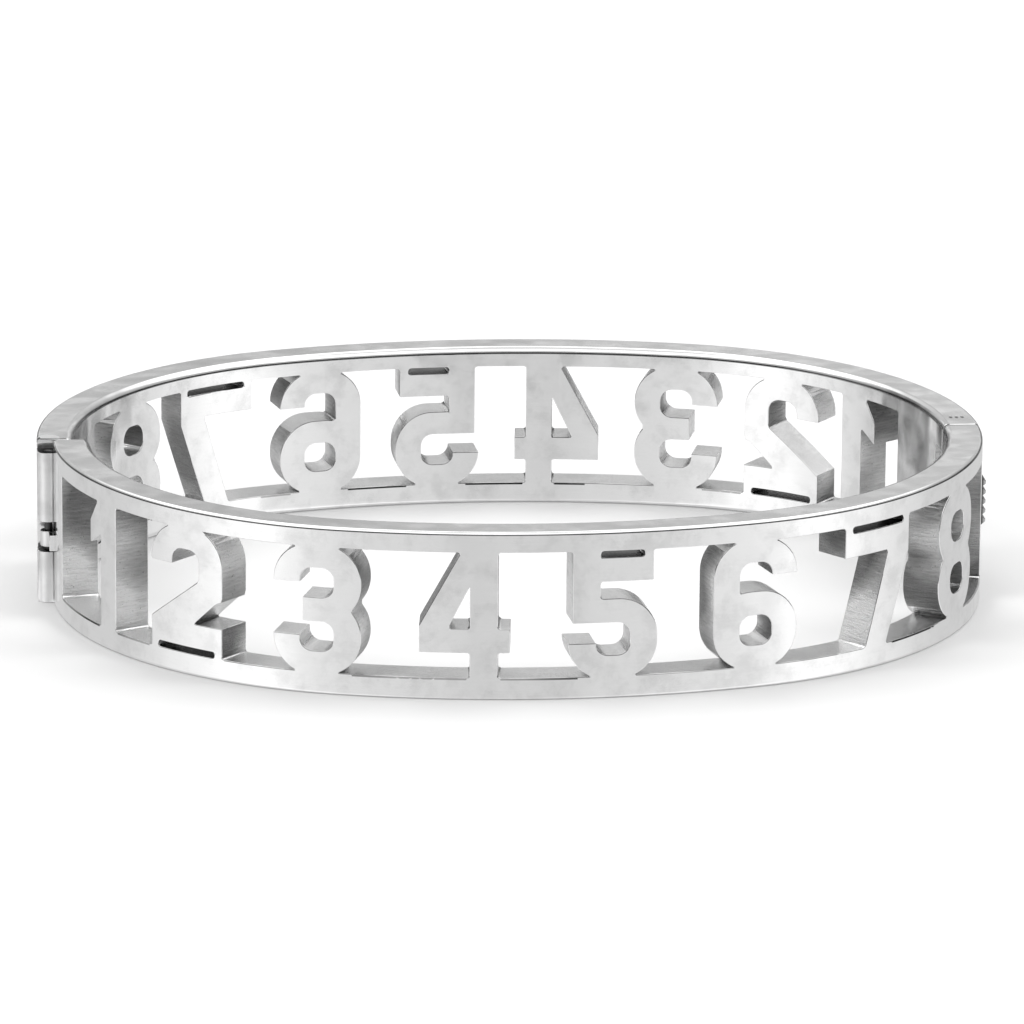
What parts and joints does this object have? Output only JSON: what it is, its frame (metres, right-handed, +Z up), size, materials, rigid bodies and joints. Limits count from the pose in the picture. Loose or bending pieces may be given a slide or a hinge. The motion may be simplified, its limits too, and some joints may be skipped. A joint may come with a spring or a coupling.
{
  "type": "hinged nameplate bracelet",
  "caption": "Oval hinged bangle of polished steel, pierced with plain numerals between two rails, with a pin hinge and a thumb-button clasp.",
  "frame": {"origin": "Centre of the outside box, thumb button included, on the plane of the bottom rim.", "axes": "+X from the hinge to the clasp, +Y from the front half to the back half, +Z up out of the wrist opening."},
  "size_m": [0.0657, 0.0512, 0.0115],
  "materials": {
    "band": "polished with a faint brushed grain, cut walls left rough",
    "pin": "satin",
    "tongue": "satin",
    "button": "polished ridges"
  },
  "bodies": {
    "back": {"back_half": "band", "hinge_pin": "pin"},
    "front": {"front_half": "band", "clasp_tongue": "tongue"},
    "button": {"clasp_button": "button"}
  },
  "joints": [
    {"name": "opening", "type": "hinge", "parent": "back", "child": "front", "pos_m": [-0.03209, 0.00035, 0.00445], "axis": [0, 0, -1], "range_deg": [0, 75]},
    {"name": "press", "type": "slide", "parent": "front", "child": "button", "axis": [-1, 0, 0], "range_m": [0, 0.0004], "stiffness_N_per_m": 2000}
  ]
}
